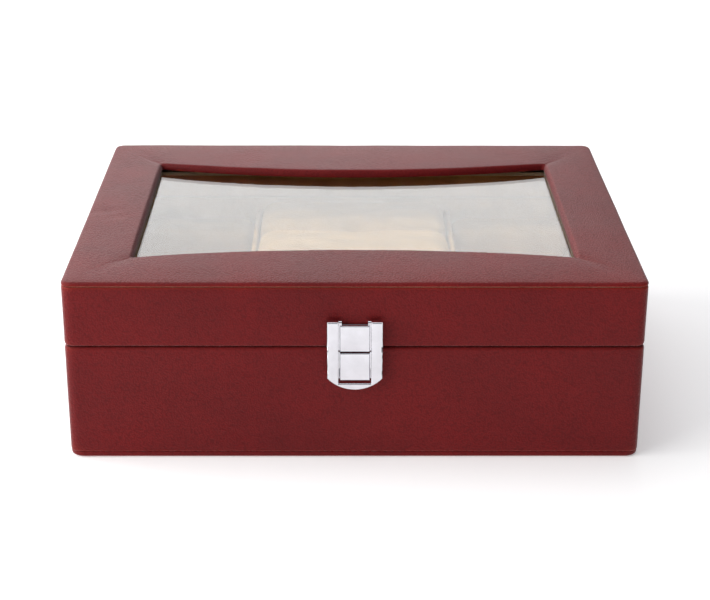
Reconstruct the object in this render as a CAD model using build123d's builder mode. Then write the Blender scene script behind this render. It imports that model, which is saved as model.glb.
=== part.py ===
"""A leather-covered glasses organizer.

A box with a padded, glass-windowed lid on two stop hinges and a drop-frame latch on the front.
Inside is a suede-lined tray: a cushioned centre lane and two open glasses lanes.
Millimetres, +Z up, front at -Y, origin at the centre of the underside."""

import os
from math import acos, cos, degrees, radians, sin, tan

from build123d import *

os.makedirs("parts", exist_ok=True)

# ---------------------------------------------------------------- driving dimensions
WIDTH, DEPTH = 250.0, 200.0          # outside of the leather
SEAM_Z = 52.4                        # joint between base and lid
LID_CREST_Z = 83.6                   # top of the lid's padding
CORNER_R = 6.0                       # upright outer corners
SKIN = 0.8                           # leather thickness
FIT = 0.3                            # clearance between pieces that only lie beside each other

BOTTOM_COVER = 2.4                   # leather-covered sheet under the base
FLOOR_BOARD = 2.6
WALL, LID_WALL = 8.2, 7.7            # lid boards are thinner, so they clear the base's lining lip
RIM_GAP = 0.5                        # open joint between the two leather rims
LINING = 2.0                         # suede-covered lining boards
FLOOR_LINING = 1.2
LIP_Z = 54.4                         # top of the base's lining, which stands above the rim

WINDOW_W, WINDOW_D = 194.5, 133.0    # opening in the padded frame, between its corners
WINDOW_Y = -2.5                      # middle of the opening, from the middle of the box
FRONT_BOW, BACK_BOW = 8.0, 13.0      # how far the padding bulges into the opening at mid span
OUTER_ROUND, INNER_ROUND = 2.6, 2.0  # rounded edges of the padded frame
TOP_BOARD_Z, TOP_BOARD = 79.3, 2.0
GLASS, GLASS_SEAL, RETAINER = 2.0, 0.7, 2.0
GLASS_W, GLASS_D = 210.0, 154.0

DIVIDER, DIVIDER_X, DIVIDER_TOP_Z = 2.4, 49.7, 48.0
PILLOWS, PILLOW_TOP_Z = 4, 56.0
BOLSTER_DEPTH, BOLSTER_TOP_Z = 26.0, 46.0
LANE_PAD = 7.0                       # cushioned floor of each open lane

HINGE_X, HINGE_LENGTH = 72.0, 28.0   # two hinges, each this far from the middle
HINGE_OPEN = 95.0                    # degrees of opening before the leaves' bevels meet
LEAF, LEAF_REACH = 1.7, 7.5          # leaf thickness, and its reach over the rim
BARREL_R, HINGE_PIN_R = 1.9, 0.75
STOP_BACK, STOP_DEEP = 4.5, 4.4      # stop block: behind the back face, and below the pin
RUNNING = 0.05                       # radial clearance on pins and screws
KNUCKLE_GAP = 0.15

LATCH_W, LATCH_TOP_Z, LATCH_TIP_Z = 23.8, 66.0, 34.2
LATCH_PLATE, LATCH_PIVOT_R, LATCH_PIN_R = 0.8, 1.25, 0.55
PLATE_LOW_Z, PLATE_HIGH_Z = 36.9, 63.5   # lower end of the base's plate, upper end of the lid's
TILE_W, TILE_FRONT, TILE_CROWN = 13.0, 1.7, 0.4
TILE_LOW_Z = {"base": 37.9, "lid": 51.4}
TILE_HIGH_Z = {"base": 50.75, "lid": 63.4}
EAR_W, EAR_R = 1.3, 1.0              # the two ears of the lid's plate that hold the pins
FRAME_ROUND = 0.6                    # rounding of the frame's front edges
FRAME_FRONT, FRAME_CROWN = 4.4, 0.3  # latch frame's front from the box's face, and its bulge
LATCH_OPEN = 100.0                   # degrees the frame swings up

SCREW_R, SCREW_HEAD_R, SCREW_LENGTH = 0.7, 1.3, 6.5

# ---------------------------------------------------------------- worked-out faces and levels
BOARD_X, BOARD_Y = WIDTH / 2 - SKIN, DEPTH / 2 - SKIN          # outer faces of the boards
BOARD_CORNER_R = CORNER_R - SKIN
IN_X, IN_Y = BOARD_X - WALL, BOARD_Y - WALL                    # inner faces of the base boards
LID_IN_X, LID_IN_Y = BOARD_X - LID_WALL, BOARD_Y - LID_WALL    # inner faces of the lid boards
TRAY_X, TRAY_Y = IN_X - LINING, IN_Y - LINING                  # inner faces of the base lining
BASE_RIM_Z, LID_RIM_Z = SEAM_Z - RIM_GAP / 2, SEAM_Z + RIM_GAP / 2
BASE_BOARD_TOP_Z, LID_BOARD_Z = BASE_RIM_Z - SKIN, LID_RIM_Z + SKIN
FLOOR_Z = BOTTOM_COVER + FLOOR_BOARD
TRAY_Z = FLOOR_Z + FLOOR_LINING
PADDING_TOP_Z = LID_CREST_Z - SKIN
GLASS_Z = TOP_BOARD_Z - GLASS_SEAL - GLASS
RETAINER_Z = GLASS_Z - RETAINER

HINGE_Y = DEPTH / 2 + FIT + BARREL_R                           # pin axis, just behind the back
HINGE_CENTRES = {"left": -HINGE_X, "right": HINGE_X}
LEAF_SCREWS = [(x + dx, DEPTH / 2 - LEAF_REACH / 2) for x in HINGE_CENTRES.values() for dx in (-9, 9)]
FACE_Y = -DEPTH / 2                                            # front leather face
PLATE_Y = FACE_Y - LATCH_PLATE                                 # front of both latch plates
PIVOT_Y, PIVOT_Z = PLATE_Y - LATCH_PIVOT_R, LATCH_TOP_Z - LATCH_PIVOT_R
RAIL_IN_X = TILE_W / 2 + 0.5                                   # inner edge of the frame's rails
LATCH_SCREW_X = (RAIL_IN_X + LATCH_W / 2) / 2
EAR_X = RAIL_IN_X - 0.1 - EAR_W / 2                            # middle of each ear
LATCH_SCREW_Z = {"base": 44.5, "lid": 58.0}

SIDES = ("front", "back", "left", "right")
BOTTOM = (Align.CENTER, Align.CENTER, Align.MIN)


def save(piece, name):
    """Labels a finished piece and writes its STEP file."""
    piece.part.label = name
    export_step(piece.part, f"parts/{name}.step")


def mitred_side(side, z, out_x, out_y, in_x, in_y, in_mid_y=0.0, bulge=False):
    """Plan outline of one side of a mitred frame. bulge lets it reach the middle."""
    across = side in ("front", "back")
    s = -1 if side in ("front", "left") else 1
    if across:
        inner_y = s * in_y + in_mid_y
        points = [(-out_x, s * out_y), (out_x, s * out_y), (in_x, inner_y), (-in_x, inner_y)]
    else:
        ends = (in_mid_y + in_y, in_mid_y - in_y)
        points = [(s * out_x, -out_y), (s * out_x, out_y), (s * in_x, ends[0]), (s * in_x, ends[1])]
    if bulge and across:
        points.insert(3, (0, 0))
    with BuildSketch(Plane.XY.offset(z)) as outline:
        with BuildLine():
            Polyline(*points, close=True)
        make_face()
    return outline.sketch


def window_sketch(grow, z):
    """The padded window's outline, grown evenly: straight ends, front and back bowed inward."""
    x, front, back = WINDOW_W / 2 + grow, WINDOW_Y - WINDOW_D / 2 - grow, WINDOW_Y + WINDOW_D / 2 + grow
    with BuildSketch(Plane.XY.offset(z)) as window:
        with BuildLine():
            ThreePointArc((-x, front), (0, front + FRONT_BOW), (x, front))
            Line((x, front), (x, back))
            ThreePointArc((x, back), (0, back - BACK_BOW), (-x, back))
            Line((-x, back), (-x, front))
        make_face()
    return window.sketch


def screw_places(group):
    """Where a group of screws goes: local +Z is the way each head faces."""
    if group == "hinge_base":
        return [Location((x, y, SEAM_Z - RUNNING)) for x, y in LEAF_SCREWS]
    if group == "hinge_lid":
        return [Location((x, y, SEAM_Z + RUNNING), (180, 0, 0)) for x, y in LEAF_SCREWS]
    z = LATCH_SCREW_Z[group.split("_")[1]]
    return [Location((s * LATCH_SCREW_X, PLATE_Y, z), (90, 0, 0)) for s in (-1, 1)]


def screw_body(grow):
    """One countersunk screw under the origin, or with grow the hole that clears it."""
    head, shank, length = SCREW_HEAD_R + grow, SCREW_R + grow, SCREW_LENGTH + 2 * grow
    with BuildPart() as screw:
        with BuildSketch(Plane.XZ):
            with BuildLine():
                Polyline((0, 0), (head, 0), (shank, shank - head), (shank, -length), (0, -length), close=True)
            make_face()
        revolve(axis=Axis.Z)
    return screw.part


SCREW, SCREW_HOLE = screw_body(0), screw_body(RUNNING)


def cut_screw_holes(group):
    """Cuts a group's screw holes out of the active piece."""
    with Locations(*screw_places(group)):
        add(SCREW_HOLE, mode=Mode.SUBTRACT)


def cut_leaf_seats(z_low, z_high):
    """Cuts the seats of the hinge leaves out of the active piece."""
    with Locations(*[(x, DEPTH / 2 - LEAF_REACH / 2, z_low) for x in HINGE_CENTRES.values()]):
        Box(HINGE_LENGTH + 2 * FIT, LEAF_REACH + 2 * FIT, z_high - z_low, align=BOTTOM, mode=Mode.SUBTRACT)


# ================================================================ base: carcass
with BuildPart() as base_bottom_cover:
    with BuildSketch():
        RectangleRounded(WIDTH - FIT, DEPTH - FIT, CORNER_R)
    extrude(amount=BOTTOM_COVER)
    fillet(base_bottom_cover.faces().sort_by(Axis.Z)[0].edges(), 1.0)
    fillet(base_bottom_cover.faces().sort_by(Axis.Z)[-1].edges(), 0.5)
save(base_bottom_cover, "base_bottom_cover")

with BuildPart() as base_floor_board:
    with Locations((0, 0, BOTTOM_COVER)):
        Box(2 * IN_X, 2 * IN_Y, FLOOR_BOARD, align=BOTTOM)
save(base_floor_board, "base_floor_board")

for side in SIDES:
    with BuildPart() as base_board:
        with BuildSketch(Plane.XY.offset(BOTTOM_COVER)):
            RectangleRounded(2 * BOARD_X, 2 * BOARD_Y, BOARD_CORNER_R)
            add(mitred_side(side, 0, BOARD_X, BOARD_Y, IN_X, IN_Y), mode=Mode.INTERSECT)
        extrude(amount=BASE_BOARD_TOP_Z - BOTTOM_COVER)
        if side == "back":
            cut_leaf_seats(SEAM_Z - RUNNING - LEAF, SEAM_Z)
            cut_screw_holes("hinge_base")
        if side == "front":
            cut_screw_holes("latch_base")
    save(base_board, f"base_{side}_board")

with BuildPart() as base_leather:
    with BuildSketch(Plane.XY.offset(BOTTOM_COVER)):
        RectangleRounded(WIDTH, DEPTH, CORNER_R)
    extrude(amount=BASE_RIM_Z - BOTTOM_COVER)
    fillet(base_leather.faces().filter_by(Axis.Z).edges(), 0.75 * SKIN)
    with Locations((0, 0, BOTTOM_COVER)):
        Box(2 * IN_X, 2 * IN_Y, DEPTH, align=BOTTOM, mode=Mode.SUBTRACT)
    with BuildSketch(Plane.XY.offset(BOTTOM_COVER)):
        RectangleRounded(2 * BOARD_X, 2 * BOARD_Y, BOARD_CORNER_R)
    extrude(amount=BASE_BOARD_TOP_Z - BOTTOM_COVER, mode=Mode.SUBTRACT)
    cut_leaf_seats(SEAM_Z - RUNNING - LEAF, SEAM_Z)
    cut_screw_holes("latch_base")
save(base_leather, "base_leather")

# ================================================================ base: suede tray
with BuildPart() as floor_lining:
    with Locations((0, 0, FLOOR_Z)):
        Box(2 * IN_X, 2 * IN_Y, FLOOR_LINING, align=BOTTOM)
save(floor_lining, "floor_lining")

for side in SIDES:
    with BuildPart() as base_lining:
        extrude(mitred_side(side, TRAY_Z, IN_X, IN_Y, TRAY_X, TRAY_Y), amount=LIP_Z - TRAY_Z)
        run = Axis.X if side in ("front", "back") else Axis.Y
        fillet(base_lining.faces().sort_by(Axis.Z)[-1].edges().filter_by(run), 0.8)
    save(base_lining, f"base_{side}_lining")

for side, s in (("left", -1), ("right", 1)):
    with BuildPart() as divider:
        with Locations((s * DIVIDER_X, 0, TRAY_Z)):
            Box(DIVIDER, 2 * TRAY_Y, DIVIDER_TOP_Z - TRAY_Z, align=BOTTOM)
        fillet(divider.faces().sort_by(Axis.Z)[-1].edges().filter_by(Axis.Y), 0.45 * DIVIDER)
    save(divider, f"divider_{side}")

PILLOW_W = 2 * (DIVIDER_X - DIVIDER / 2 - 2 * FIT)
PILLOW_PITCH = 2 * TRAY_Y / PILLOWS
for number in range(PILLOWS):
    with BuildPart() as pillow:
        with BuildSketch(Plane.XY.offset(TRAY_Z)):
            with Locations((0, -TRAY_Y + (number + 0.5) * PILLOW_PITCH)):
                RectangleRounded(PILLOW_W, PILLOW_PITCH - 2 * FIT, 7.0)
        extrude(amount=PILLOW_TOP_Z - TRAY_Z)
        fillet(pillow.faces().sort_by(Axis.Z)[-1].edges(), 5.0)
        fillet(pillow.faces().sort_by(Axis.Z)[0].edges(), 2.0)
    save(pillow, f"pillow_{number + 1}")

LANE_IN_X, LANE_OUT_X = DIVIDER_X + DIVIDER / 2 + FIT, TRAY_X - FIT
LANE_W, LANE_X = LANE_OUT_X - LANE_IN_X, (LANE_OUT_X + LANE_IN_X) / 2
BOLSTER_Y = TRAY_Y - FIT - BOLSTER_DEPTH / 2
PAD_LENGTH = 2 * TRAY_Y - BOLSTER_DEPTH - 3 * FIT
for side, s in (("left", -1), ("right", 1)):
    with BuildPart() as lane_pad:
        with BuildSketch(Plane.XY.offset(TRAY_Z)):
            with Locations((s * LANE_X, -TRAY_Y + FIT + PAD_LENGTH / 2)):
                RectangleRounded(LANE_W, PAD_LENGTH, 3.0)
        extrude(amount=LANE_PAD)
        fillet(lane_pad.faces().sort_by(Axis.Z)[-1].edges(), 2.5)
    save(lane_pad, f"lane_pad_{side}")

    with BuildPart() as bolster:
        with BuildSketch(Plane.XY.offset(TRAY_Z)):
            with Locations((s * LANE_X, BOLSTER_Y)):
                RectangleRounded(LANE_W, BOLSTER_DEPTH, 6.0)
        extrude(amount=BOLSTER_TOP_Z - TRAY_Z)
        fillet(bolster.faces().sort_by(Axis.Z)[-1].edges(), 5.0)
    save(bolster, f"bolster_{side}")

# ================================================================ lid: carcass
for side in SIDES:
    with BuildPart() as lid_board:
        with BuildSketch(Plane.XY.offset(LID_BOARD_Z)):
            RectangleRounded(2 * BOARD_X, 2 * BOARD_Y, BOARD_CORNER_R)
            add(mitred_side(side, 0, BOARD_X, BOARD_Y, LID_IN_X, LID_IN_Y), mode=Mode.INTERSECT)
        extrude(amount=TOP_BOARD_Z - LID_BOARD_Z)
        if side == "back":
            cut_leaf_seats(SEAM_Z, SEAM_Z + RUNNING + LEAF)
            cut_screw_holes("hinge_lid")
        if side == "front":
            cut_screw_holes("latch_lid")
    save(lid_board, f"lid_{side}_board")

with BuildPart() as lid_leather:
    with BuildSketch(Plane.XY.offset(LID_RIM_Z)):
        RectangleRounded(WIDTH, DEPTH, CORNER_R)
    extrude(amount=TOP_BOARD_Z - LID_RIM_Z)
    fillet(lid_leather.faces().filter_by(Axis.Z).edges(), 0.75 * SKIN)
    with Locations((0, 0, LID_RIM_Z)):
        Box(2 * LID_IN_X, 2 * LID_IN_Y, DEPTH, align=BOTTOM, mode=Mode.SUBTRACT)
    with BuildSketch(Plane.XY.offset(LID_BOARD_Z)):
        RectangleRounded(2 * BOARD_X, 2 * BOARD_Y, BOARD_CORNER_R)
    extrude(amount=TOP_BOARD_Z - LID_BOARD_Z, mode=Mode.SUBTRACT)
    cut_leaf_seats(SEAM_Z, SEAM_Z + RUNNING + LEAF)
    cut_screw_holes("latch_lid")
save(lid_leather, "lid_leather")

with BuildPart() as lid_top_board:
    with BuildSketch(Plane.XY.offset(TOP_BOARD_Z)):
        RectangleRounded(2 * BOARD_X, 2 * BOARD_Y, BOARD_CORNER_R)
        with Locations((0, WINDOW_Y)):
            Rectangle(WINDOW_W + 2 * SKIN, WINDOW_D + 2 * SKIN, mode=Mode.SUBTRACT)
    extrude(amount=TOP_BOARD)
save(lid_top_board, "lid_top_board")


# ================================================================ lid: padded leather frame
def padded_frame(inset, top_z):
    """The whole padded frame, inset evenly: its outside without inset, its stuffing with SKIN."""
    with BuildPart() as frame:
        with BuildSketch(Plane.XY.offset(TOP_BOARD_Z)):
            RectangleRounded(WIDTH - 2 * inset, DEPTH - 2 * inset, CORNER_R - inset)
            add(window_sketch(inset, 0), mode=Mode.SUBTRACT)
        extrude(amount=top_z - TOP_BOARD_Z)
        crest = frame.faces().sort_by(Axis.Z)[-1]
        fillet(crest.outer_wire().edges(), OUTER_ROUND - inset)
        crest = frame.faces().sort_by(Axis.Z)[-1]
        fillet(crest.inner_wires()[0].edges(), INNER_ROUND - inset)
    return frame.part


STUFFING = padded_frame(SKIN, PADDING_TOP_Z)
for side in SIDES:
    with BuildPart() as lid_padding:
        add(STUFFING)
        add(lid_top_board.part, mode=Mode.SUBTRACT)
        strip = mitred_side(
            side, TOP_BOARD_Z, BOARD_X, BOARD_Y, WINDOW_W / 2, WINDOW_D / 2, WINDOW_Y, bulge=True
        )
        extrude(strip, amount=PADDING_TOP_Z - TOP_BOARD_Z, mode=Mode.INTERSECT)
    save(lid_padding, f"lid_{side}_padding")

with BuildPart() as lid_top_leather:
    add(padded_frame(0, LID_CREST_Z))
    add(STUFFING, mode=Mode.SUBTRACT)
    add(lid_top_board.part, mode=Mode.SUBTRACT)
save(lid_top_leather, "lid_top_leather")

# ================================================================ lid: window and lining
with BuildPart() as glass_seal:
    with BuildSketch(Plane.XY.offset(TOP_BOARD_Z - GLASS_SEAL)):
        Rectangle(GLASS_W - 1, GLASS_D - 1)
        with Locations((0, WINDOW_Y)):
            Rectangle(WINDOW_W + 4, WINDOW_D + 4, mode=Mode.SUBTRACT)
    extrude(amount=GLASS_SEAL)
save(glass_seal, "glass_seal")

with BuildPart() as window_glass:
    with Locations((0, 0, GLASS_Z)):
        Box(GLASS_W, GLASS_D, GLASS, align=BOTTOM)
    chamfer(window_glass.edges(), 0.2)
save(window_glass, "window_glass")

with BuildPart() as glass_bed:
    with BuildSketch(Plane.XY.offset(GLASS_Z)):
        Rectangle(2 * LID_IN_X, 2 * LID_IN_Y)
        Rectangle(GLASS_W + 2 * FIT, GLASS_D + 2 * FIT, mode=Mode.SUBTRACT)
    extrude(amount=TOP_BOARD_Z - GLASS_Z)
save(glass_bed, "glass_bed")

with BuildPart() as glass_retainer:
    with BuildSketch(Plane.XY.offset(RETAINER_Z)):
        Rectangle(2 * LID_IN_X, 2 * LID_IN_Y)
        with Locations((0, WINDOW_Y)):
            Rectangle(WINDOW_W + 1, WINDOW_D + 1, mode=Mode.SUBTRACT)
    extrude(amount=RETAINER)
    hole_edges = glass_retainer.faces().sort_by(Axis.Z)[0].inner_wires()[0].edges()
    fillet(hole_edges, 0.8)
save(glass_retainer, "glass_retainer")

LID_LINING_Z = LIP_Z + 2 * FIT
for side in SIDES:
    with BuildPart() as lid_lining:
        outline = mitred_side(side, LID_LINING_Z, LID_IN_X, LID_IN_Y, LID_IN_X - LINING, LID_IN_Y - LINING)
        extrude(outline, amount=RETAINER_Z - LID_LINING_Z)
        run = Axis.X if side in ("front", "back") else Axis.Y
        fillet(lid_lining.faces().sort_by(Axis.Z)[0].edges().filter_by(run), 0.8)
    save(lid_lining, f"lid_{side}_lining")

# ================================================================ hinges
KNUCKLES = {"base": (-1, 1), "lid": (0,)}            # which thirds of the barrel each leaf carries
THIRD = HINGE_LENGTH / 3
STOP_DROP = (DEPTH / 2 + STOP_BACK - HINGE_Y) * tan(radians(HINGE_OPEN + 1.0) / 2)


def hinge_leaf(half, x):
    """One hinge leaf: a plate in the rim, a bevelled stop block behind it, and its knuckles."""
    up = 1 if half == "lid" else -1
    other = "base" if half == "lid" else "lid"
    near_z, far_z = SEAM_Z + up * RUNNING, SEAM_Z + up * (RUNNING + LEAF)
    block_y, back_y = DEPTH / 2 + FIT, DEPTH / 2 + STOP_BACK
    block_z = SEAM_Z + up * STOP_DEEP
    with BuildPart() as leaf:
        with BuildSketch(Plane.YZ.offset(x - HINGE_LENGTH / 2)):
            with BuildLine():
                Polyline(
                    (DEPTH / 2 - LEAF_REACH, near_z),
                    (HINGE_Y, near_z),
                    (back_y, SEAM_Z + up * (RUNNING + STOP_DROP)),
                    (back_y, block_z),
                    (block_y, block_z),
                    (block_y, far_z),
                    (DEPTH / 2 - LEAF_REACH, far_z),
                    close=True,
                )
            make_face()
        extrude(amount=HINGE_LENGTH)
        for third in KNUCKLES[other]:
            with Locations((x + third * THIRD, HINGE_Y, SEAM_Z)):
                length = THIRD + 2 * KNUCKLE_GAP
                Cylinder(BARREL_R + KNUCKLE_GAP, length, rotation=(0, 90, 0), mode=Mode.SUBTRACT)
        for third in KNUCKLES[half]:
            with Locations((x + third * THIRD, HINGE_Y, SEAM_Z)):
                Cylinder(BARREL_R, THIRD - KNUCKLE_GAP, rotation=(0, 90, 0))
        with Locations((x, HINGE_Y, SEAM_Z)):
            Cylinder(HINGE_PIN_R + RUNNING, 2 * HINGE_LENGTH, rotation=(0, 90, 0), mode=Mode.SUBTRACT)
        cut_screw_holes(f"hinge_{half}")
    return leaf


for side, x in HINGE_CENTRES.items():
    for half in ("base", "lid"):
        leaf = hinge_leaf(half, x)
        save(leaf, f"hinge_{side}_{half}_leaf")
    with BuildPart() as hinge_pin:
        with Locations((x, HINGE_Y, SEAM_Z)):
            Cylinder(HINGE_PIN_R, HINGE_LENGTH, rotation=(0, 90, 0))
        chamfer(hinge_pin.edges(), 0.15)
    save(hinge_pin, f"hinge_{side}_pin")

for group in ("hinge_base", "hinge_lid", "latch_base", "latch_lid"):
    with BuildPart() as screws:
        with Locations(*screw_places(group)):
            add(SCREW)
    save(screws, f"{group}_screws")


# ================================================================ latch
def latch_tile(half):
    """The crowned tile that shows through the latch frame, standing on its plate."""
    low_z, high_z = TILE_LOW_Z[half], TILE_HIGH_Z[half]
    front_y = PLATE_Y - TILE_FRONT
    with BuildPart() as tile:
        with BuildSketch(Plane.YZ.offset(-TILE_W / 2)):
            with BuildLine():
                Polyline((front_y, low_z), (PLATE_Y, low_z), (PLATE_Y, high_z), (front_y, high_z))
                crown = (front_y - TILE_CROWN, (low_z + high_z) / 2)
                ThreePointArc((front_y, high_z), crown, (front_y, low_z))
            make_face()
        extrude(amount=TILE_W)
        fillet(tile.faces().sort_by(Axis.Y)[0].edges(), 0.5)
    return tile.part


with BuildPart() as latch_base_plate:
    with BuildSketch(Plane.XZ.offset(-FACE_Y)):
        with Locations((0, (PLATE_LOW_Z + TILE_HIGH_Z["base"]) / 2)):
            RectangleRounded(LATCH_W - 1.2, TILE_HIGH_Z["base"] - PLATE_LOW_Z, 1.0)
    extrude(amount=LATCH_PLATE)
    add(latch_tile("base"))
    with Locations((TILE_W / 2 - 0.25, PLATE_Y - 0.9, 41), (0.25 - TILE_W / 2, PLATE_Y - 0.9, 41)):
        Cylinder(0.5, 3.0)
    cut_screw_holes("latch_base")
save(latch_base_plate, "latch_base_plate")

with BuildPart() as latch_lid_plate:
    with BuildSketch(Plane.XZ.offset(-FACE_Y)):
        with Locations((0, (TILE_LOW_Z["lid"] + PLATE_HIGH_Z) / 2)):
            RectangleRounded(LATCH_W - 1.2, PLATE_HIGH_Z - TILE_LOW_Z["lid"], 1.0)
    extrude(amount=LATCH_PLATE)
    add(latch_tile("lid"))
    with Locations((-EAR_X, PIVOT_Y, PIVOT_Z), (EAR_X, PIVOT_Y, PIVOT_Z)):
        Cylinder(EAR_R, EAR_W, rotation=(0, 90, 0))
        Box(EAR_W, FACE_Y - PIVOT_Y, 1.9, align=(Align.CENTER, Align.MIN, Align.MAX))
    with Locations((0, PIVOT_Y, PIVOT_Z)):
        Cylinder(LATCH_PIN_R + RUNNING, LATCH_W, rotation=(0, 90, 0), mode=Mode.SUBTRACT)
    cut_screw_holes("latch_lid")
save(latch_lid_plate, "latch_lid_plate")

PIN_FROM_X = EAR_X - EAR_W / 2                                  # inner end of each latch pin
with BuildPart() as latch_pins:
    middle = (PIN_FROM_X + LATCH_W / 2) / 2
    with Locations((-middle, PIVOT_Y, PIVOT_Z), (middle, PIVOT_Y, PIVOT_Z)):
        Cylinder(LATCH_PIN_R, LATCH_W / 2 - PIN_FROM_X, rotation=(0, 90, 0))
    chamfer(latch_pins.edges().filter_by(GeomType.CIRCLE), 0.15)
save(latch_pins, "latch_pins")

def around_pivot(angle):
    """A point of the frame's knuckle, at an angle up from the box's face."""
    reach = LATCH_PIVOT_R - RUNNING
    return (PIVOT_Y + reach * cos(radians(angle)), PIVOT_Z + reach * sin(radians(angle)))


FRAME_BACK_Y, FRAME_FRONT_Y = PLATE_Y - 0.25, FACE_Y - FRAME_FRONT
BAR_BACK_Y = PLATE_Y - TILE_FRONT - TILE_CROWN - 0.2   # the base's tile passes behind the bar
SHOULDER_Z, BAR_TOP_Z = 39.6, 37.2
KNUCKLE_BACK = degrees(acos((FRAME_BACK_Y - PIVOT_Y) / (LATCH_PIVOT_R - RUNNING)))
KNUCKLE_TOP = LATCH_OPEN + 2.0                         # where the sloping top leaves the knuckle
with BuildPart() as latch_frame:
    with BuildSketch(Plane.XZ.offset(-FRAME_BACK_Y)):
        with BuildLine():
            Polyline(
                (-LATCH_W / 2, SHOULDER_Z),
                (-LATCH_W / 2, LATCH_TOP_Z),
                (LATCH_W / 2, LATCH_TOP_Z),
                (LATCH_W / 2, SHOULDER_Z),
            )
            ThreePointArc((LATCH_W / 2, SHOULDER_Z), (0, LATCH_TIP_Z), (-LATCH_W / 2, SHOULDER_Z))
        make_face()
        with Locations((0, BAR_TOP_Z)):
            Rectangle(2 * RAIL_IN_X, LATCH_W * 2, align=(Align.CENTER, Align.MIN), mode=Mode.SUBTRACT)
    extrude(amount=FRAME_BACK_Y - FRAME_FRONT_Y + 1)
    with BuildSketch(Plane.YZ.offset(-LATCH_W)):
        top_y, top_z = around_pivot(KNUCKLE_TOP)
        front_y, drop = FRAME_FRONT_Y + FRAME_CROWN, tan(radians(KNUCKLE_TOP - 90))
        with BuildLine():
            Line((FRAME_BACK_Y, LATCH_TIP_Z), around_pivot(KNUCKLE_BACK))
            ThreePointArc(around_pivot(KNUCKLE_BACK), around_pivot(60), (top_y, top_z))
            Line((top_y, top_z), (front_y, top_z - (top_y - front_y) * drop))
            ThreePointArc(
                (front_y, top_z - (top_y - front_y) * drop),
                (FRAME_FRONT_Y, (PIVOT_Z + LATCH_TIP_Z) / 2),
                (front_y, LATCH_TIP_Z),
            )
            Line((front_y, LATCH_TIP_Z), (FRAME_BACK_Y, LATCH_TIP_Z))
        make_face()
    extrude(amount=2 * LATCH_W, mode=Mode.INTERSECT)
    with Locations((0, FRAME_BACK_Y, LATCH_TIP_Z)):
        behind = (Align.CENTER, Align.MAX, Align.MIN)
        Box(2 * RAIL_IN_X, FRAME_BACK_Y - BAR_BACK_Y, LATCH_W, align=behind, mode=Mode.SUBTRACT)
    fillet(latch_frame.faces().sort_by(Axis.Y)[0].edges(), FRAME_ROUND)
    with Locations((0, PIVOT_Y, PIVOT_Z)):
        Cylinder(LATCH_PIN_R + RUNNING, 2 * LATCH_W, rotation=(0, 90, 0), mode=Mode.SUBTRACT)
save(latch_frame, "latch_frame")
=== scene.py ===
import math

import bmesh
import bpy
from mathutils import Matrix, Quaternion, Vector, noise


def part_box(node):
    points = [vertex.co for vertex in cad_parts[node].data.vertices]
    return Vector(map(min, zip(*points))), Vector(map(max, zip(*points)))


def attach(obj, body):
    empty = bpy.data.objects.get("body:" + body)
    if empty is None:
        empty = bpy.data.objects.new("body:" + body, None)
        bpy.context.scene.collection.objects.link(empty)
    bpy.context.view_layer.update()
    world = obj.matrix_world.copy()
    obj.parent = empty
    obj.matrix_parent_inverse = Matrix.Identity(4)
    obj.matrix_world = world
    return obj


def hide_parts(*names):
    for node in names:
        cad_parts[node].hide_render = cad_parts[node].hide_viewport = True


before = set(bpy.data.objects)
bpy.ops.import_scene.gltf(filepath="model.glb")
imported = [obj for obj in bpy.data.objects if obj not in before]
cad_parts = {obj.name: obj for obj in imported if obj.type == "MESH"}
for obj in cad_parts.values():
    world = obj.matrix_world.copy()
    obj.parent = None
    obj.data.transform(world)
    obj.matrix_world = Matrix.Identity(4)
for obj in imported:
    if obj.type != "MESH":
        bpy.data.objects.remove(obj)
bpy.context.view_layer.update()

MM = 0.001

# ---------------------------------------------------------------- sizes, in millimetres
WIDTH, DEPTH, CORNER = 250.0, 200.0, 4.8
WINDOW_X, WINDOW_D, WINDOW_Y = 97.25, 133.0, -2.5     # half width, depth and middle of the opening
FRONT_BOW, BACK_BOW, WINDOW_CORNER = 8.0, 13.0, 1.4
EDGE_Z, CREST_Z, CREST_CORNER_Z = 82.1, 83.35, 82.6
PANEL_Z = 80.0                      # lower edge of the padded top panel
GLASS_Z = 79.34                     # where the padding's inner edge meets the glass
SEAM_LOW_Z, SEAM_HIGH_Z = 52.15, 52.65
RIM_ROUND, PANEL_ROUND, WINDOW_ROLL = 1.3, 2.0, 2.0
HIDE = 0.7                          # leather thickness
RIM_BASE, RIM_LID = 9.0, 8.5        # how far the leather folds in over each rim
COVER_Z = 2.4                       # top of the leather-covered bottom sheet

# camera: where it stands and how it is turned, in degrees
CAMERA_AT = (-4.55, -776.65, 349.52)
CAMERA_PITCH, CAMERA_YAW, CAMERA_ROLL = 22.1263, 0.3861, 0.1663
LENS, SENSOR = 87.474, 36.0

PER_SIDE, PER_CORNER = 72, 9        # points along each side and round each corner
# folds at each window corner: direction and width in degrees, depth and reach in millimetres
FOLDS = ((46, 13, 0.42, 10), (18, 9, 0.16, 9), (78, 9, 0.18, 9), (-8, 8, 0.08, 8))


# ================================================================ camera, stage and light
def make_camera():
    data = bpy.data.cameras.new("camera")
    data.lens, data.sensor_width = LENS, SENSOR
    data.clip_start, data.clip_end = 0.01, 50
    camera = bpy.data.objects.new("camera", data)
    pitch, yaw = math.radians(CAMERA_PITCH), math.radians(CAMERA_YAW)
    ahead = Vector((math.sin(yaw) * math.cos(pitch), math.cos(yaw) * math.cos(pitch), -math.sin(pitch)))
    camera.rotation_mode = "QUATERNION"
    roll = Quaternion((0, 0, 1), math.radians(CAMERA_ROLL))
    camera.rotation_quaternion = ahead.to_track_quat("-Z", "Y") @ roll
    camera.location = Vector(CAMERA_AT) * MM
    bpy.context.scene.collection.objects.link(camera)
    bpy.context.scene.camera = camera


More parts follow.
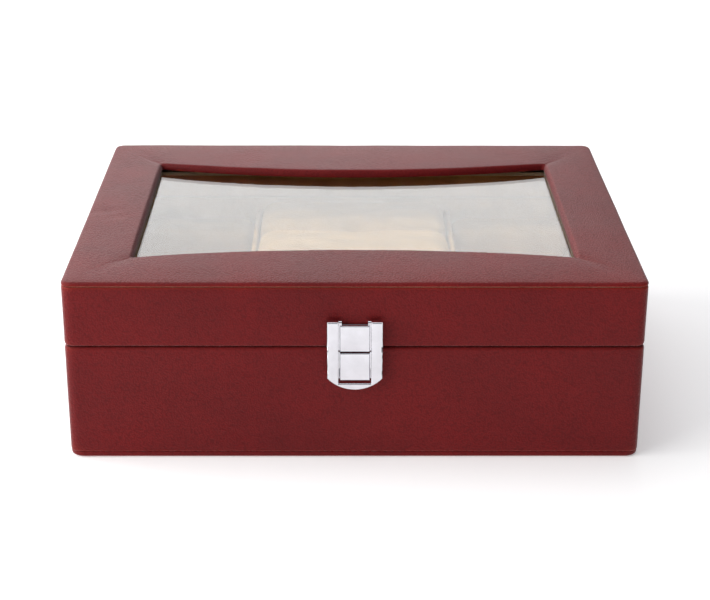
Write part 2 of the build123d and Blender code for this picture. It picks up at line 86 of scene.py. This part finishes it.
def panel_light(name, at, aim, size, strength, colour=(1, 1, 1)):
    """A soft box: strength is its surface brightness, so its size doesn't change how bright it looks."""
    data = bpy.data.lights.new(name, "AREA")
    data.shape, data.size, data.size_y = "RECTANGLE", size[0], size[1]
    data.energy, data.color = strength * math.pi * size[0] * size[1], colour
    light = bpy.data.objects.new(name, data)
    light.location = at
    light.rotation_mode = "QUATERNION"
    light.rotation_quaternion = (Vector(aim) - Vector(at)).to_track_quat("-Z", "Y")
    bpy.context.scene.collection.objects.link(light)
    return light


def make_stage():
    mesh = bpy.data.meshes.new("floor")
    size, bm = 6.0, bmesh.new()
    bmesh.ops.create_grid(bm, x_segments=1, y_segments=1, size=size)
    bm.to_mesh(mesh)
    bm.free()
    floor = bpy.data.objects.new("floor", mesh)
    floor.location = (0, 1.5, -0.0002)
    bpy.context.scene.collection.objects.link(floor)
    material = bpy.data.materials.new("floor")
    material.use_nodes = True
    shader = material.node_tree.nodes["Principled BSDF"]
    shader.inputs["Base Color"].default_value = (0.93, 0.93, 0.935, 1)
    shader.inputs["Emission Color"].default_value = (1, 1, 1, 1)
    shader.inputs["Emission Strength"].default_value = 0.3
    shader.inputs["Roughness"].default_value = 0.9
    shader.inputs["Specular IOR Level"].default_value = 0.1
    mesh.materials.append(material)

    scene = bpy.context.scene
    scene.view_settings.view_transform = "Standard"
    scene.view_settings.look = "None"
    world = bpy.data.worlds.new("studio")
    scene.world = world
    world.use_nodes = True
    nodes, links = world.node_tree.nodes, world.node_tree.links
    nodes["Background"].inputs["Strength"].default_value = 0.55
    sides = nodes.new("ShaderNodeSeparateXYZ")        # the room is darker to the right
    links.new(nodes.new("ShaderNodeTexCoord").outputs["Generated"], sides.inputs[0])
    room = nodes.new("ShaderNodeMapRange")
    links.new(sides.outputs["X"], room.inputs["Value"])
    for key, value in (("From Min", -1), ("From Max", 1), ("To Min", 1), ("To Max", 0.12)):
        room.inputs[key].default_value = value
    tint = nodes.new("ShaderNodeMix")
    tint.data_type = "RGBA"
    links.new(room.outputs[0], tint.inputs[0])
    tint.inputs[6].default_value, tint.inputs[7].default_value = (0, 0, 0, 1), (0.94, 0.95, 1.0, 1)
    links.new(tint.outputs[2], nodes["Background"].inputs["Color"])

    panel_light("back_panel", (-0.75, 1.9, 0.95), (0, 0, 0.1), (2.7, 1.3), 2.35, (1.0, 0.99, 0.98))
    panel_light("left_key", (-1.5, 0.1, 1.1), (0, 0, 0.04), (1.1, 1.1), 3.6, (1.0, 0.98, 0.95))
    panel_light("front_key", (-0.8, -0.55, 0.5), (-0.1, -0.1, 0.04), (0.7, 0.7), 3.4, (1.0, 0.985, 0.96))
    panel_light("top_fill", (-0.1, 0.2, 2.2), (0, 0, 0), (1.6, 1.6), 1.7)


# ================================================================ materials
class Tree:
    """A material's node tree, with short calls for its nodes and links."""

    def __init__(self, name, **constants):
        self.material = bpy.data.materials.new(name)
        self.material.use_nodes = True
        self.nodes, self.links = self.material.node_tree.nodes, self.material.node_tree.links
        self.shader = self.nodes["Principled BSDF"]
        self.where = self.nodes.new("ShaderNodeTexCoord").outputs["Object"]
        for key, value in constants.items():
            self.set(key, value)

    def set(self, key, value):
        self.shader.inputs[key.replace("_", " ")].default_value = value

    def link(self, a, b):
        self.links.new(a, b)
        return a

    def texture(self, kind, scale, out=0, stretch=(1, 1, 1), turn=(0, 0, 0), **settings):
        """A 3-D texture, its scale given as the size in millimetres of one feature."""
        mapping = self.nodes.new("ShaderNodeMapping")
        mapping.inputs["Scale"].default_value = [s / (scale * MM) for s in stretch]
        mapping.inputs["Rotation"].default_value = turn
        self.link(self.where, mapping.inputs["Vector"])
        node = self.nodes.new("ShaderNodeTex" + kind)
        node.inputs["Scale"].default_value = 1.0
        for key, value in settings.items():
            if key in ("feature", "distance", "wave_type", "bands_direction"):
                setattr(node, key, value)
            else:
                node.inputs[key].default_value = value
        self.link(mapping.outputs[0], node.inputs["Vector"])
        return node.outputs[out]

    def ramp(self, value, *stops):
        node = self.nodes.new("ShaderNodeValToRGB")
        elements = node.color_ramp.elements
        while len(elements) < len(stops):
            elements.new(0.5)
        for element, (at, colour) in zip(elements, stops):
            element.position = at
            element.color = (*colour, 1) if hasattr(colour, "__len__") else (colour, colour, colour, 1)
        self.link(value, node.inputs[0])
        return node.outputs[0]

    def mix(self, factor, a, b, blend="MIX"):
        node = self.nodes.new("ShaderNodeMix")
        node.data_type, node.blend_type = "RGBA", blend
        for value, socket in ((factor, node.inputs[0]), (a, node.inputs[6]), (b, node.inputs[7])):
            if hasattr(value, "is_linked"):
                self.link(value, socket)
            else:
                socket.default_value = (*value, 1) if hasattr(value, "__len__") else value
        return node.outputs[2]

    def math(self, operation, a, b, c=None):
        node = self.nodes.new("ShaderNodeMath")
        node.operation = operation
        for value, socket in zip((a, b, c), node.inputs):
            if hasattr(value, "is_linked"):
                self.link(value, socket)
            elif value is not None:
                socket.default_value = value
        return node.outputs[0]

    def bump(self, height, depth, strength=1.0, after=None):
        """Bump of that real depth, in millimetres."""
        node = self.nodes.new("ShaderNodeBump")
        node.inputs["Distance"].default_value = depth * MM
        node.inputs["Strength"].default_value = strength
        self.link(height, node.inputs["Height"])
        if after is not None:
            self.link(after, node.inputs["Normal"])
        return node.outputs[0]

    def done(self, colour=None, roughness=None, normal=None):
        for value, key in ((colour, "Base Color"), (roughness, "Roughness"), (normal, "Normal")):
            if value is not None:
                self.link(value, self.shader.inputs[key])
        return self.material


def leather():
    t = Tree("oxblood_leather", Specular_IOR_Level=0.19, Sheen_Weight=0.27, Sheen_Roughness=0.35)
    pebbles = t.texture("Voronoi", 0.75, feature="SMOOTH_F1", Smoothness=0.35, Randomness=0.9)
    creases = t.texture("Voronoi", 2.6, feature="DISTANCE_TO_EDGE", Randomness=1.0)
    pores = t.texture("Noise", 0.35, Detail=2.0)
    mottle = t.texture("Noise", 38, Detail=5.0, Roughness=0.62)
    cloud = t.texture("Noise", 120, Detail=2.0)
    base = t.mix(
        t.ramp(mottle, (0.34, 0), (0.68, 1)), (0.132, 0.0032, 0.0045), (0.182, 0.0045, 0.0058)
    )
    base = t.mix(t.ramp(cloud, (0.38, 0), (0.66, 0.35)), base, (0.20, 0.008, 0.008))
    base = t.mix(t.ramp(pebbles, (0.35, 0), (0.8, 0.55)), base, (0.075, 0.0022, 0.0035))
    # painted highlight: convex edges, found by pointiness, are lightened orange-red to stand for the
    # lamps' highlight on the rounded edges
    edge_highlight_mask = t.nodes.new("ShaderNodeNewGeometry").outputs["Pointiness"]
    base = t.mix(t.ramp(edge_highlight_mask, (0.515, 0), (0.60, 0.6)), base, (0.42, 0.045, 0.02))
    rough = t.math("MULTIPLY_ADD", pebbles, 0.16, 0.40)
    rough = t.math("MULTIPLY_ADD", mottle, 0.10, rough)
    normal = t.bump(t.ramp(creases, (0.0, 0), (0.16, 1)), 0.035, 0.6)
    normal = t.bump(t.ramp(pebbles, (0.15, 1), (0.75, 0)), 0.11, 1.0, normal)
    normal = t.bump(pores, 0.02, 0.6, normal)
    return t.done(base, rough, normal)


def suede(name, light, dark, nap=0.5):
    """Short-napped suede: brushed in patches, with a fine fibre bump."""
    t = Tree(name, Specular_IOR_Level=0.15, Sheen_Weight=0.35, Sheen_Roughness=0.45)
    t.set("Sheen Tint", (*light, 1))
    fibres = t.texture("Noise", nap, Detail=4.0, Roughness=0.7)
    brushed = t.texture("Noise", 16, Detail=3.0, stretch=(1, 2.2, 1), turn=(0, 0, 0.5))
    patches = t.texture("Noise", 55, Detail=2.0)
    base = t.mix(t.ramp(brushed, (0.36, 0), (0.66, 1)), dark, light)
    base = t.mix(t.ramp(patches, (0.4, 0), (0.7, 0.3)), base, dark)
    base = t.mix(t.ramp(fibres, (0.3, 0.35), (0.55, 0)), base, [c * 0.72 for c in dark])
    rough = t.math("MULTIPLY_ADD", fibres, 0.15, 0.82)
    normal = t.bump(fibres, 0.16, 0.7)
    normal = t.bump(brushed, 0.3, 0.25, normal)
    return t.done(base, rough, normal)


def metal(name, colour, roughness, brush=(1, 1, 1), scratch=0.25):
    """Plated metal: fine brushing or polish marks, smudges, and a slightly uneven plating."""
    t = Tree(name, Metallic=1.0)
    marks = t.texture("Noise", 0.5, Detail=3.0, stretch=brush)
    smudge = t.texture("Noise", 7, Detail=3.0)
    tint = [c * 0.9 for c in colour]
    base = t.mix(t.ramp(smudge, (0.35, 0), (0.7, 1)), colour, tint)
    rough = t.math("MULTIPLY_ADD", smudge, roughness, roughness * 0.5)
    rough = t.math("MULTIPLY_ADD", marks, roughness * 0.6, rough)
    return t.done(base, rough, t.bump(marks, 0.006, scratch))


def fibreboard():
    t = Tree("fibreboard", Specular_IOR_Level=0.2)
    flecks = t.texture("Noise", 0.9, Detail=5.0, Roughness=0.75, stretch=(1, 1, 2.5))
    layers = t.texture("Noise", 14, Detail=2.0, stretch=(0.3, 0.3, 4))
    base = t.mix(t.ramp(flecks, (0.32, 0), (0.7, 1)), (0.24, 0.15, 0.082), (0.47, 0.33, 0.2))
    base = t.mix(t.ramp(layers, (0.4, 0), (0.7, 0.4)), base, (0.36, 0.23, 0.13))
    return t.done(base, t.math("MULTIPLY_ADD", flecks, 0.2, 0.7), t.bump(flecks, 0.12, 0.6))


def card():
    """Cloth-faced board round the underside of the window."""
    t = Tree("window_card", Specular_IOR_Level=0.2, Sheen_Weight=0.2)
    weave = t.texture("Wave", 0.9, Distortion=1.0, bands_direction="X")
    weft = t.texture("Wave", 0.9, Distortion=1.0, bands_direction="Y")
    cloth = t.math("MULTIPLY", weave, weft)
    base = t.mix(t.ramp(cloth, (0.0, 0), (0.7, 1)), (0.44, 0.37, 0.26), (0.66, 0.58, 0.44))
    return t.done(base, t.math("MULTIPLY_ADD", cloth, 0.1, 0.75), t.bump(cloth, 0.08, 0.5))


def rubber():
    t = Tree("seal_rubber", Specular_IOR_Level=0.4)
    dust = t.texture("Noise", 3, Detail=4.0)
    base = t.mix(t.ramp(dust, (0.5, 0), (0.85, 1)), (0.012, 0.010, 0.010), (0.05, 0.045, 0.042))
    return t.done(base, t.math("MULTIPLY_ADD", dust, 0.25, 0.45), t.bump(dust, 0.03, 0.4))


def glass():
    """Clear float glass that lets lamps shine through, with faint wiping marks in its polish."""
    t = Tree("window_glass", Transmission_Weight=1.0, IOR=1.28)
    wipes = t.texture("Noise", 60, Detail=2.0, stretch=(1, 3, 1), turn=(0, 0, 0.4))
    t.link(t.ramp(wipes, (0.4, 0.004), (0.9, 0.012)), t.shader.inputs["Roughness"])
    t.set("Base Color", (0.985, 0.995, 0.99, 1))
    output = t.nodes["Material Output"]
    clear = t.nodes.new("ShaderNodeBsdfTransparent")
    clear.inputs["Color"].default_value = (0.06, 0.06, 0.06, 1)
    path, both = t.nodes.new("ShaderNodeLightPath"), t.nodes.new("ShaderNodeMixShader")
    t.link(path.outputs["Is Shadow Ray"], both.inputs[0])
    t.link(t.shader.outputs[0], both.inputs[1])
    t.link(clear.outputs[0], both.inputs[2])
    t.link(both.outputs[0], output.inputs["Surface"])
    return t.material


CREAM, SAND = (0.60, 0.38, 0.15), (0.43, 0.26, 0.09)
LEATHER, GLASS = leather(), glass()
SUEDE = suede("cream_suede", CREAM, SAND)
CUSHION = suede("cushion_suede", (0.55, 0.345, 0.135), (0.42, 0.25, 0.088), 0.42)
CHROME = metal("polished_nickel", (0.71, 0.70, 0.74), 0.07)
BRASS = metal("brushed_brass", (0.72, 0.58, 0.33), 0.26, (0.15, 3, 3), 0.6)
STEEL = metal("screw_steel", (0.62, 0.61, 0.60), 0.22, (1, 1, 1), 0.5)
BOARD, CARD, RUBBER = fibreboard(), card(), rubber()


# ================================================================ mesh helpers
def new_piece(name, mesh, material, body, slot, *stands_for, smooth=True):
    piece = bpy.data.objects.new(name, mesh)
    bpy.context.scene.collection.objects.link(piece)
    mesh.materials.clear()
    mesh.materials.append(material)
    mesh.polygons.foreach_set("use_smooth", [smooth] * len(mesh.polygons))
    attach(piece, body)
    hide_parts(*stands_for)
    return piece


def outline(half_x, half_y, radius):
    """A rounded rectangle as evenly numbered points, counter-clockwise from the front left corner."""
    points = []
    corners = [(-1, -1, 180), (1, -1, 270), (1, 1, 0), (-1, 1, 90)]
    for k, (sx, sy, start) in enumerate(corners):
        cx, cy = sx * (half_x - radius), sy * (half_y - radius)
        for i in range(PER_CORNER):
            a = math.radians(start + 90 * i / (PER_CORNER - 1))
            points.append((cx + radius * math.cos(a), cy + radius * math.sin(a)))
        tx, ty, turn = corners[(k + 1) % 4]
        ex, ey = tx * (half_x - radius), ty * (half_y - radius)
        a, b = math.radians(start + 90), math.radians(turn)
        x0, y0 = cx + radius * math.cos(a), cy + radius * math.sin(a)
        x1, y1 = ex + radius * math.cos(b), ey + radius * math.sin(b)
        for i in range(1, PER_SIDE):
            u = 0.5 - 0.5 * math.cos(math.pi * i / PER_SIDE)
            u = 0.55 * u + 0.45 * i / PER_SIDE
            points.append((x0 + (x1 - x0) * u, y0 + (y1 - y0) * u))
    return points


def outside(inset):
    return outline(WIDTH / 2 - inset, DEPTH / 2 - inset, max(CORNER - inset, 0.4))


def window(grow):
    """The window's edge, grown evenly: straight at the ends, front and back bulging in."""
    points, half = [], WINDOW_D / 2 + grow
    for x, y in outline(WINDOW_X + grow, half, WINDOW_CORNER + 0.6 * grow):
        bow = BACK_BOW if y > 0 else FRONT_BOW
        bulge = bow * max(0.0, 1 - (x / (WINDOW_X + grow)) ** 2)
        points.append((x, WINDOW_Y + y - bulge * y / half))
    return points


def loft(name, rings):
    """A closed skin through closed rings of points, the last joined to the first."""
    mesh, n = bpy.data.meshes.new(name), len(rings[0])
    vertices = [[c * MM for c in p] for ring in rings for p in ring]
    faces = []
    for r in range(len(rings)):
        s = (r + 1) % len(rings)
        faces += [(r * n + i, r * n + (i + 1) % n, s * n + (i + 1) % n, s * n + i) for i in range(n)]
    mesh.from_pydata(vertices, [], faces)
    bm = bmesh.new()
    bm.from_mesh(mesh)
    bmesh.ops.recalc_face_normals(bm, faces=bm.faces)
    bm.to_mesh(mesh)
    bm.free()
    return mesh


def ring(inset, z):
    return [(x, y, z) for x, y in outside(inset)]


def waver(p, size, depth, seed):
    """Slow unevenness of hand-laid leather at a point, in millimetres, never outward."""
    q = Vector(p) / size + Vector((seed, 0, 0))
    return -depth * (0.5 + 0.5 * noise.noise(q))


def unevenness(p):
    x, y, z = p
    depth = waver(p, 34, 0.22, 3.1) + waver(p, 9, 0.07, 8.7)
    if y < -90:                      # faint upright pulls in the front, left of the latch
        pull = 1 + math.sin(x * 0.55 + 1.3 * math.sin(z * 0.11))
        depth -= 0.05 * pull * math.exp(-(((x + 85) / 30) ** 2))
    return depth


def pressed(rings):
    """The rings with the outer faces moved in by the leather's unevenness."""
    moved = []
    for points in rings:
        row = []
        for x, y, z in points:
            dx, dy = max(abs(x) - (WIDTH / 2 - 1.5), 0), max(abs(y) - (DEPTH / 2 - 1.5), 0)
            length = math.hypot(dx, dy)
            if length > 0:
                d = unevenness((x, y, z)) * min(length / 1.2, 1)
                x += d * math.copysign(dx / length, x)
                y += d * math.copysign(dy / length, y)
            row.append((x, y, z))
        moved.append(row)
    return moved


def wrap_rings(rim_z, far_z, rim_fold, up, far_round):
    """Leather over a frame of boards: from its far edge up the outside, over the rim and back inside."""
    rings = [ring(0.45 * far_round, far_z), ring(0.12 * far_round, far_z + up * 0.4 * far_round)]
    rings.append(ring(0, far_z + up * far_round))
    near = rim_z - up * RIM_ROUND
    steps = 12
    for i in range(1, steps + 1):
        rings.append(ring(0, far_z + up * far_round + (near - far_z - up * far_round) * i / steps))
    for i in range(1, 7):
        a = math.radians(90 * i / 6)
        rings.append(ring(RIM_ROUND * (1 - math.cos(a)), near + up * RIM_ROUND * math.sin(a)))
    rings += [ring(0.5 * rim_fold, rim_z), ring(rim_fold - 0.5, rim_z)]
    rings.append(ring(rim_fold - 0.1, rim_z - up * 0.15))
    rings += [ring(rim_fold - 0.05, rim_z - up * HIDE), ring(HIDE + 0.8, rim_z - up * HIDE)]
    rings += [ring(HIDE, rim_z - up * (HIDE + 0.8)), ring(HIDE, far_z)]
    return pressed(rings)


# ================================================================ leather
def make_wraps():
    base = loft("base_wrap", wrap_rings(SEAM_LOW_Z, COVER_Z + 0.05, RIM_BASE, 1, 0.9))
    new_piece("base_wrap", base, LEATHER, "base", "leather", "base_leather")
    lid = loft("lid_wrap", wrap_rings(SEAM_HIGH_Z, PANEL_Z - 0.15, RIM_LID, -1, 1.1))
    new_piece("lid_wrap", lid, LEATHER, "lid", "leather", "lid_leather")


def side_place(i):
    """How far along its side a perimeter point is: 0 in a corner, 1 at mid span."""
    k = i % (PER_CORNER + PER_SIDE - 1)
    return 0.0 if k < PER_CORNER else math.sin(math.pi * (k - PER_CORNER + 1) / PER_SIDE)


def pucker(x, y):
    """Folds that radiate from the window's corners, where the leather is drawn in."""
    depth = 0.0
    for sx in (-1, 1):
        for sy in (-1, 1):
            dx, dy = sx * x - WINDOW_X, sy * (y - WINDOW_Y) - WINDOW_D / 2
            reach = math.hypot(dx, dy)
            if reach > 34 or reach < 0.01:
                continue
            angle = math.degrees(math.atan2(dy, dx))
            for at, wide, deep, far in FOLDS:
                depth += deep * math.exp(-(((angle - at) / wide) ** 2)) * math.exp(-((reach / far) ** 2))
    return depth


def make_panel():
    """The padded leather panel round the window, one closed skin."""
    count = len(outside(0))
    crest = [CREST_CORNER_Z + (CREST_Z - CREST_CORNER_Z) * side_place(i) ** 0.7 for i in range(count)]
    rings = [ring(1.3, PANEL_Z + 0.05), ring(0.45, PANEL_Z + 0.1), ring(0.12, PANEL_Z + 0.25)]
    low = PANEL_Z + 0.5
    for i in range(0, 9):
        a = math.radians(90 * i / 8)
        rings.append(ring(PANEL_ROUND * (1 - math.cos(a)), low + (EDGE_Z - low) * math.sin(a)))
    outer, inner = outside(PANEL_ROUND), window(WINDOW_ROLL)
    steps = 22
    for k in range(1, steps + 1):
        t = k / steps
        row = []
        for i, ((x0, y0), (x1, y1)) in enumerate(zip(outer, inner)):
            x, y = x0 + (x1 - x0) * t, y0 + (y1 - y0) * t
            puff = math.sin(math.pi / 2 * t ** 0.75)
            z = EDGE_Z + (crest[i] - EDGE_Z) * puff
            row.append((x, y, z))
        rings.append(row)
    for k in range(1, 10):
        a = math.radians(90 * k / 9)
        path = window(WINDOW_ROLL * (1 - math.sin(a)))
        floor = GLASS_Z + 0.5
        rings.append([(x, y, floor + (crest[i] - floor) * math.cos(a)) for i, (x, y) in enumerate(path)])
    rings.append([(x, y, GLASS_Z + 0.15) for x, y in window(0.05)])
    rings.append([(x, y, GLASS_Z) for x, y in window(0.35)])
    rings.append([(x, y, GLASS_Z) for x, y in window(8)])
    rings.append(ring(10, PANEL_Z))
    soft = []
    for points in rings:
        row = []
        for x, y, z in points:
            high = min(max((z - 80.6) / 1.4, 0), 1)
            if high > 0:
                dent = 0.42 * math.exp(-(((x + 117) / 8) ** 2) - ((y + 9) / 2.8) ** 2)
                dent += 0.24 * math.exp(-(((x + 111) / 7) ** 2) - ((y + 18) / 2.6) ** 2)
                z -= high * (pucker(x, y) + dent)
                z += high * (waver((x, y, 0), 26, 0.30, 5.5) + waver((x, y, 0), 8, 0.08, 1.2))
            row.append((x, y, z))
        soft.append(row)
    mesh = loft("padded_panel", pressed(soft))
    stuffing = [f"lid_{side}_padding" for side in ("front", "back", "left", "right")]
    panel = new_piece("padded_panel", mesh, LEATHER, "lid", "leather", "lid_top_leather", *stuffing)


# ================================================================ cushions
def evaluated_mesh(obj):
    graph = bpy.context.evaluated_depsgraph_get()
    return bpy.data.meshes.new_from_object(obj.evaluated_get(graph), depsgraph=graph)


def stuffed(name, node, voxel, shrink, pressure, cap):
    """A cushion cover blown up from a node's shape by cloth simulation, and kept inside the node's box."""
    low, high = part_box(node)
    centre = (low + high) / 2
    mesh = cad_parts[node].data.copy()
    worker = bpy.data.objects.new("worker", mesh)
    bpy.context.scene.collection.objects.link(worker)
    remesh = worker.modifiers.new("remesh", "REMESH")
    remesh.mode, remesh.voxel_size = "VOXEL", voxel * MM
    mesh = evaluated_mesh(worker)
    worker.modifiers.clear()
    worker.data = mesh
    for v in mesh.vertices:
        for axis in range(3):
            half = (high[axis] - low[axis]) / 2
            v.co[axis] = centre[axis] + (v.co[axis] - centre[axis]) * (1 - shrink * MM / half)
    start = [v.co.copy() for v in mesh.vertices]
    cloth = worker.modifiers.new("cloth", "CLOTH")
    cloth.settings.quality = 6
    cloth.settings.mass = 0.3
    cloth.settings.tension_stiffness = cloth.settings.compression_stiffness = 12
    cloth.settings.bending_stiffness = 0.6
    cloth.settings.use_pressure = True
    cloth.settings.uniform_pressure_force = pressure
    cloth.settings.shrink_min = -0.03
    cloth.settings.effector_weights.gravity = 0
    cloth.collision_settings.use_collision = False
    cloth.point_cache.frame_start, cloth.point_cache.frame_end = 1, 24
    scene = bpy.context.scene
    for number in range(1, 21):
        scene.frame_set(number)
    mesh = evaluated_mesh(worker)
    scene.frame_set(1)
    floor = low.z + 0.3 * MM
    for v, was in zip(mesh.vertices, start):
        step = v.co - was
        if step.length > cap * MM:
            v.co = was + step * (cap * MM / step.length)
        for axis in range(3):
            v.co[axis] = min(max(v.co[axis], low[axis] + 0.15 * MM), high[axis] - 0.15 * MM)
        v.co.z = max(v.co.z, floor)
    bpy.data.objects.remove(worker)
    return mesh


def place_cushion(name, node, mesh, source, turn):
    """One cushion from a finished cover, moved from the source node's place and perhaps turned round."""
    here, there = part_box(node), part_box(source)
    own_centre = (here[0] + here[1]) / 2
    source_centre = (there[0] + there[1]) / 2
    mesh = mesh.copy()
    for v in mesh.vertices:
        p = v.co - source_centre
        if turn:
            p.x, p.y = -p.x, -p.y
        v.co = own_centre + p
    piece = new_piece(name, mesh, CUSHION, "base", "cushion", node)
    smooth = piece.modifiers.new("smooth", "SUBSURF")
    smooth.levels = smooth.render_levels = 1
    return piece


def make_cushions():
    cover = stuffed("pillow", "pillow_1", 4.0, 1.6, 4.0, 6)
    for number in range(1, 5):
        place_cushion(f"pillow_cover_{number}", f"pillow_{number}", cover, "pillow_1", number % 2 == 0)
    for kind, fill in (("bolster", 0.8), ("lane_pad", 0.5)):
        cover = stuffed(kind, f"{kind}_left", 4.0, 1.0, 3.0 if kind == "bolster" else 1.5, 4)
        for side in ("left", "right"):
            turn = side == "right"
            place_cushion(f"{kind}_cover_{side}", f"{kind}_{side}", cover, f"{kind}_left", turn)


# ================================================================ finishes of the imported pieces
FINISHES = [
    ("window_glass", GLASS),
    ("glass_seal", RUBBER),
    ("glass_", CARD),
    ("screws", STEEL),
    ("pin", STEEL),
    ("latch", CHROME),
    ("hinge", BRASS),
    ("cover", LEATHER),
    ("leather", LEATHER),
    ("lining", SUEDE),
    ("divider", SUEDE),
    ("board", BOARD),
]


def dress_nodes():
    for name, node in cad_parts.items():
        finish = next((m for key, m in FINISHES if key in name), CUSHION)
        node.data.materials.clear()
        node.data.materials.append(finish)


make_camera()
make_stage()
dress_nodes()
make_wraps()
make_panel()
make_cushions()
